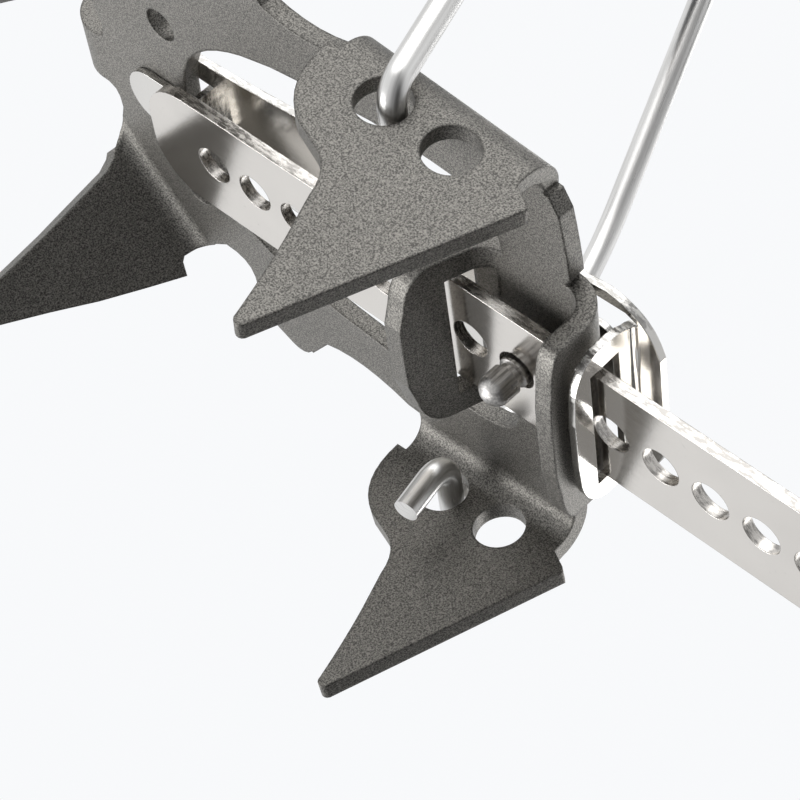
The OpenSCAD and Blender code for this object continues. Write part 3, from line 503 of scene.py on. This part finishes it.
def section_tree(name, material, round_section):
    tree = new_tree(name, {"Width": 0.0035, "Height": 0.0035, "Corner": 0.0004})
    given = tree.nodes.new("NodeGroupInput").outputs
    curve = put(tree, "GeometryNodeMeshToCurve", {}, {"Mesh": given["Geometry"]})
    corner = put(tree, "GeometryNodeInputNamedAttribute", {"data_type": "FLOAT"}, {"Name": "corner"})
    path = put(tree, "GeometryNodeFilletCurve", {"mode": "POLY"}, {
        "Curve": curve, "Radius": corner, "Count": BEND_STEPS})
    path = keep_distance(tree, path, "along")
    if round_section:
        half = put(tree, "ShaderNodeMath", {"operation": "MULTIPLY"}, {0: given["Width"], 1: 0.5})
        section = put(tree, "GeometryNodeCurvePrimitiveCircle", {}, {
            "Resolution": ROUND_SIDES, "Radius": half})
    else:
        flat = put(tree, "GeometryNodeCurvePrimitiveQuadrilateral", {}, {
            "Width": given["Width"], "Height": given["Height"]})
        section = put(tree, "GeometryNodeFilletCurve", {"mode": "POLY"}, {
            "Curve": flat, "Radius": given["Corner"], "Count": EDGE_STEPS})
    section = keep_distance(tree, section, "around")
    skin = put(tree, "GeometryNodeCurveToMesh", {}, {
        "Curve": path, "Profile Curve": section, "Fill Caps": True})
    return finish_tree(tree, skin, material)


# %% [markdown]
# ## The heel bail
#
# One wire, bent cold: its ends hook inwards through the tabs' rear holes, the
# legs rise beside the boot's heel, close in above it, and meet at the lever.
# Each sharp bend has a radius near the wire's own diameter, as a bending tool
# leaves it, and the bend half way up each leg is long and gentle.

# %% The wire's corners and their radii
WIRE = 3.5
HOLE_X, HOLE_Z = -13.6, -5.9
LEG_Y, STUB_Y = 41.46, 28.01
KNEE, SHOULDER, TOP = 48, 99, 110
TOP_HALF = 20
HOOK_FORWARD, HOOK_DOWN = 1.8, 9.4
LEAN = math.tan(math.radians(18.3))
CLOSE = math.tan(math.radians(20.4))
BEND_RADII = [0, 4.2, 2.9, 40, 6, 5]


def leg_point(h):
    return (HOLE_X - h * LEAN, LEG_Y - max(h - KNEE, 0) * CLOSE, h + HOLE_Z)


half_wire = [
    (HOLE_X + HOOK_FORWARD, STUB_Y, HOLE_Z - HOOK_DOWN),
    (HOLE_X, STUB_Y, HOLE_Z),
    leg_point(0),
    leg_point(KNEE),
    leg_point(SHOULDER),
    (leg_point(TOP)[0], TOP_HALF, HOLE_Z + TOP)]
wire_points = [place(*p) for p in half_wire]
wire_points += [place(x, -y, z) for x, y, z in reversed(half_wire)]
wire_radii = [r * MM for r in BEND_RADII + BEND_RADII[::-1]]
wire_shape = path_object("wire_path", wire_points, wire_radii)

# %% The wire as a tube
wire_tree = section_tree("wire", wire_steel, True)
bail = bake(wire_shape, wire_tree, {"Width": WIRE * MM}, "bail", "heel_bail")
for polygon in bail.data.polygons:
    polygon.use_smooth = True
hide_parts("bail_wire")

# %% [markdown]
# ## The ankle strap
#
# A strap that goes round the ankle and through the lever. One end is sewn back
# on itself round the buckle's rear bar, the other goes round the buckle's middle
# bar and ends as a loose tail under its keeper. As a path it is one line, which
# is why it is drawn as one band and not as several boxes.

# %% The strap's sizes
STRAP_T, STRAP_W, STRAP_EDGE = 1.8, 20, 0.6
STRAP_Z = 120.1 + STRAP_W / 2
MID = STRAP_T / 2
REAR_X, CORNER_R, SIDE, HALF = -50.979, 28, 41, 43
BAR_R, BUCKLE_STEP, BUCKLE_GAP = 1.6, 14, 4.5
BUCKLE_X = REAR_X + CORNER_R + BUCKLE_STEP + BUCKLE_GAP
BUCKLE_Y = HALF + STRAP_T + BAR_R
WRAP = BAR_R + MID
SEWN_END, TAIL = 13.8, 39.6
WRAP_STEPS, CORNER_STEPS, FRONT_STEPS = 14, 28, 60
print("the buckle's middle bar is at", place(BUCKLE_X, BUCKLE_Y, STRAP_Z))


# %% The strap's path, from the sewn end to the tail
def turn(cx, cy, r, a0, a1, n):
    angles = [math.radians(a0 + (a1 - a0) * i / n) for i in range(n + 1)]
    return [(cx + r * math.cos(a), cy + r * math.sin(a)) for a in angles]


rear_bar = BUCKLE_X - BUCKLE_STEP
rear_c = REAR_X + CORNER_R
front_c = rear_c + SIDE
line = [(rear_bar - SEWN_END, BUCKLE_Y + WRAP)]
line += turn(rear_bar, BUCKLE_Y, WRAP, 90, -90, WRAP_STEPS)
line += turn(rear_c, HALF - CORNER_R, CORNER_R + MID, 90, 180, CORNER_STEPS)
line += turn(rear_c, -HALF + CORNER_R, CORNER_R + MID, 180, 270, CORNER_STEPS)
line += turn(front_c, 0, HALF + MID, -90, 90, FRONT_STEPS)
line += turn(BUCKLE_X, BUCKLE_Y, WRAP, 270, 90, WRAP_STEPS)
line += [(BUCKLE_X + TAIL, BUCKLE_Y + WRAP)]
strap_points = [place(x, y, STRAP_Z) for x, y in line]
strap_shape = path_object("strap_path", strap_points, [0.0] * len(strap_points))

# %% The strap as a flat band
strap_tree = section_tree("strap", webbing, False)
strap_sizes = {"Width": STRAP_T * MM, "Height": STRAP_W * MM, "Corner": STRAP_EDGE * MM}
strap = bake(strap_shape, strap_tree, strap_sizes, "lever", "strap_webbing")
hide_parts("ankle_strap")
low, high = Vector(strap.bound_box[0]), Vector(strap.bound_box[6])
solid_low, solid_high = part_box("ankle_strap")
print("strap:", [round(v / MM, 1) for v in high - low])
print("its solid:", [round(v / MM, 1) for v in solid_high - solid_low])

# %% [markdown]
# ## Stitches
#
# The strap's end is sewn down with a box and a cross, and its loose tip is hemmed
# with two rows. Each stitch is a short bead of thread half sunk in the webbing.
# Geometry Nodes walk along the seam lines, set a coarse sphere at every pitch,
# turn it along the line and stretch it, so a new seam costs only its end points.

# %% Seam lines on the strap's outer face
SEAM_Y = BUCKLE_Y + WRAP + MID
SEAM_HALF = 7.5
BOX_FAR, BOX_NEAR = 12.6, 4.6
HEM_ROWS = (35.4, 37.2)
x0, x1 = rear_bar - BOX_FAR, rear_bar - BOX_NEAR
z0, z1 = STRAP_Z - SEAM_HALF, STRAP_Z + SEAM_HALF
box_sides = [((x0, z0), (x1, z0)), ((x0, z1), (x1, z1)), ((x0, z0), (x0, z1)), ((x1, z0), (x1, z1))]
cross = [((x0, z0), (x1, z1)), ((x0, z1), (x1, z0))]
hem = [((BUCKLE_X + row, z0), (BUCKLE_X + row, z1)) for row in HEM_ROWS]
seams = box_sides + cross + hem
seam_points = [place(x, SEAM_Y, z) for seam in seams for x, z in seam]
seam_shape = line_object("seam_lines", seam_points, [(2 * i, 2 * i + 1) for i in range(len(seams))])
print("seams:", len(seams))


# %% The tree that sews along a line
BEAD_SEGMENTS, BEAD_RINGS = 8, 5


def stitch_tree(name, material):
    tree = new_tree(name, {"Pitch": 0.002, "Length": 0.0015, "Thread": 0.0006})
    given = tree.nodes.new("NodeGroupInput").outputs
    seam = put(tree, "GeometryNodeMeshToCurve", {}, {"Mesh": given["Geometry"]})
    steps = put(tree, "GeometryNodeResampleCurve", {"mode": "LENGTH"}, {
        "Curve": seam, "Length": given["Pitch"]})
    tangent = put(tree, "GeometryNodeInputTangent")
    turned = put(tree, "FunctionNodeAlignRotationToVector", {"axis": "X"}, {"Vector": tangent})
    size = put(tree, "ShaderNodeCombineXYZ", {}, {
        "X": given["Length"], "Y": given["Thread"], "Z": given["Thread"]})
    bead = put(tree, "GeometryNodeMeshUVSphere", {}, {
        "Segments": BEAD_SEGMENTS, "Rings": BEAD_RINGS, "Radius": 0.5})
    sewn = put(tree, "GeometryNodeInstanceOnPoints", {}, {
        "Points": steps, "Instance": bead, "Rotation": turned, "Scale": size})
    return finish_tree(tree, sewn, material)


# %% Thread
def make_thread():
    s = Sheet("thread")
    twist = s.grain(0.25, 2.0, 0.6)
    tone = s.blend(s.level(twist, 0.35, 0.65), (0.07, 0.07, 0.075), (0.17, 0.17, 0.18))
    rough = s.level(twist, 0.3, 0.7, 0.5, 0.7)
    return s.surface(base_color=tone, roughness=rough, normal=s.bumps(twist, 0.03, 0.6))


thread = make_thread()
print("made", thread.name)

# %% The sewn seams
stitch_sizes = {"Pitch": 1.9 * MM, "Length": 1.4 * MM, "Thread": 0.6 * MM}
stitches = bake(seam_shape, stitch_tree("sewing", thread), stitch_sizes, "lever", "strap_stitches")

# %% [markdown]
# ## Light, floor and camera
#
# The photograph looks up at the crampon from under the level of its spikes, on
# plain white. So the floor is clear from below, and in reflections, and only its
# upper side shows. To the camera the sky is one pale colour. A mirror needs
# something to show, so in reflections the sky is bright on the heel's side and
# overhead, and dark on the toe's side. Four large soft lamps do the rest, at a
# level at which a colour renders about as it is written.

# %% The sky
PALE = (0.94, 0.95, 0.965)
COOL = (0.98, 0.985, 1.0)
AMBIENT = 0.12
HEEL_AND_BELOW = (-0.95, -0.10, -0.30)
DIM = 0.05

world = bpy.data.worlds.new("studio")
bpy.context.scene.world = world
sky = Sheet("studio", world)
heading = sky.node("ShaderNodeTexCoord", out="Generated")
towards = sky.node("ShaderNodeVectorMath", {"operation": "DOT_PRODUCT"}, {
    0: heading, 1: HEEL_AND_BELOW}, out="Value")
from_heel = sky.level(towards, -0.75, 0.45, DIM, 0.88)
overhead = sky.level(sky.part(heading, "Z"), 0.0, 0.6, DIM, 0.8)
brightness = overhead.work("MAXIMUM", from_heel, overhead)
ambient = sky.node("ShaderNodeBackground", {}, {"Color": COOL, "Strength": AMBIENT})
shining = sky.node("ShaderNodeBackground", {}, {"Color": PALE, "Strength": brightness})
behind_all = sky.node("ShaderNodeBackground", {}, {"Color": PALE, "Strength": 1.0})
mirrored = sky.ray("Glossy") + sky.ray("Transmission")
lit = sky.node("ShaderNodeMixShader", {}, {0: mirrored, 1: ambient, 2: shining})
both = sky.node("ShaderNodeMixShader", {}, {0: sky.ray("Camera"), 1: lit, 2: behind_all})
sky.node("ShaderNodeOutputWorld", {}, {"Surface": both})
print("sky:", world.name)

# %% The floor
FLOOR_HALF = 4
FLOOR_TONE = (0.62, 0.63, 0.64)
FLOOR_GLOW = 0.45

corners = [(sx * FLOOR_HALF, sy * FLOOR_HALF, 0) for sx, sy in ((-1, -1), (1, -1), (1, 1), (-1, 1))]
floor_data = bpy.data.meshes.new("floor")
floor_data.from_pydata(corners, [], [(0, 1, 2, 3)])
floor = bpy.data.objects.new("floor", floor_data)
bpy.context.scene.collection.objects.link(floor)
f = Sheet("floor")
behind = f.node("ShaderNodeNewGeometry", out="Backfacing")
pale = f.node("ShaderNodeBsdfDiffuse", {}, {"Color": FLOOR_TONE})
glow = f.node("ShaderNodeEmission", {}, {"Color": PALE, "Strength": FLOOR_GLOW})
bright = f.node("ShaderNodeAddShader", {}, {0: pale, 1: glow})
top_side = f.node("ShaderNodeMixShader", {}, {0: f.ray("Camera"), 1: pale, 2: bright})
clear = f.node("ShaderNodeBsdfTransparent")
see_through = f.level(behind + f.ray("Glossy") + f.ray("Shadow"), 0.0, 1.0)
whole = f.node("ShaderNodeMixShader", {}, {0: see_through, 1: top_side, 2: clear})
f.node("ShaderNodeOutputMaterial", {}, {"Surface": whole})
floor_data.materials.append(f.block)
print("floor:", 2 * FLOOR_HALF, "m square")

# %% The lamps
LAMP_AWAY = 0.9
LAMPS = [
    ("key", (-0.35, -0.80, 0.48), 1.1, 4.2),
    ("below", (-0.40, 0.15, -0.90), 0.7, 5.0),
    ("toe_side", (0.50, 0.77, 0.40), 0.5, 1.6),
    ("top", (-0.10, 0.45, 0.89), 0.6, 4.0)]
heart = place(-20, 0, 0)


def lamp(name, where, target, size, watts):
    data = bpy.data.lights.new(name, "AREA")
    data.shape = "DISK"
    data.size = size
    data.energy = watts
    made = bpy.data.objects.new(name, data)
    made.location = where
    made.rotation_euler = (Vector(target) - Vector(where)).to_track_quat("-Z", "Y").to_euler()
    bpy.context.scene.collection.objects.link(made)


for name, direction, size, watts in LAMPS:
    lamp(name, heart + LAMP_AWAY * Vector(direction), heart, size, watts)
print("lamps:", len(LAMPS), "watts:", sum(watts for *_, watts in LAMPS))

# %% [markdown]
# ## The camera
#
# The camera's place, directions and lens were worked out beforehand, so that the
# bar's holes, the tabs' holes, the pin and the spike tips fall where the
# photograph shows them. Three angles would say the same less plainly, so a
# matrix takes the directions as they are: right, up and back.

# %% The camera
SENSOR, LENS, NEAREST = 36, 128.28, 0.01
spot = place(157.06, -271.03, -147.97)
right = Vector((0.7179, 0.1024, 0.6886))
up = Vector((-0.5042, -0.6057, 0.6156))
back = Vector((0.4801, -0.7891, -0.3832))

camera_data = bpy.data.cameras.new("camera")
camera_data.sensor_width = SENSOR
camera_data.lens = LENS
camera_data.clip_start = NEAREST
camera = bpy.data.objects.new("camera", camera_data)
rows = [(right[i], up[i], back[i], spot[i]) for i in range(3)]
camera.matrix_world = Matrix(rows + [(0, 0, 0, 1)])
bpy.context.scene.collection.objects.link(camera)
bpy.context.scene.camera = camera
bpy.context.scene.view_settings.view_transform = "Standard"
print("camera:", spot, "lens:", LENS)
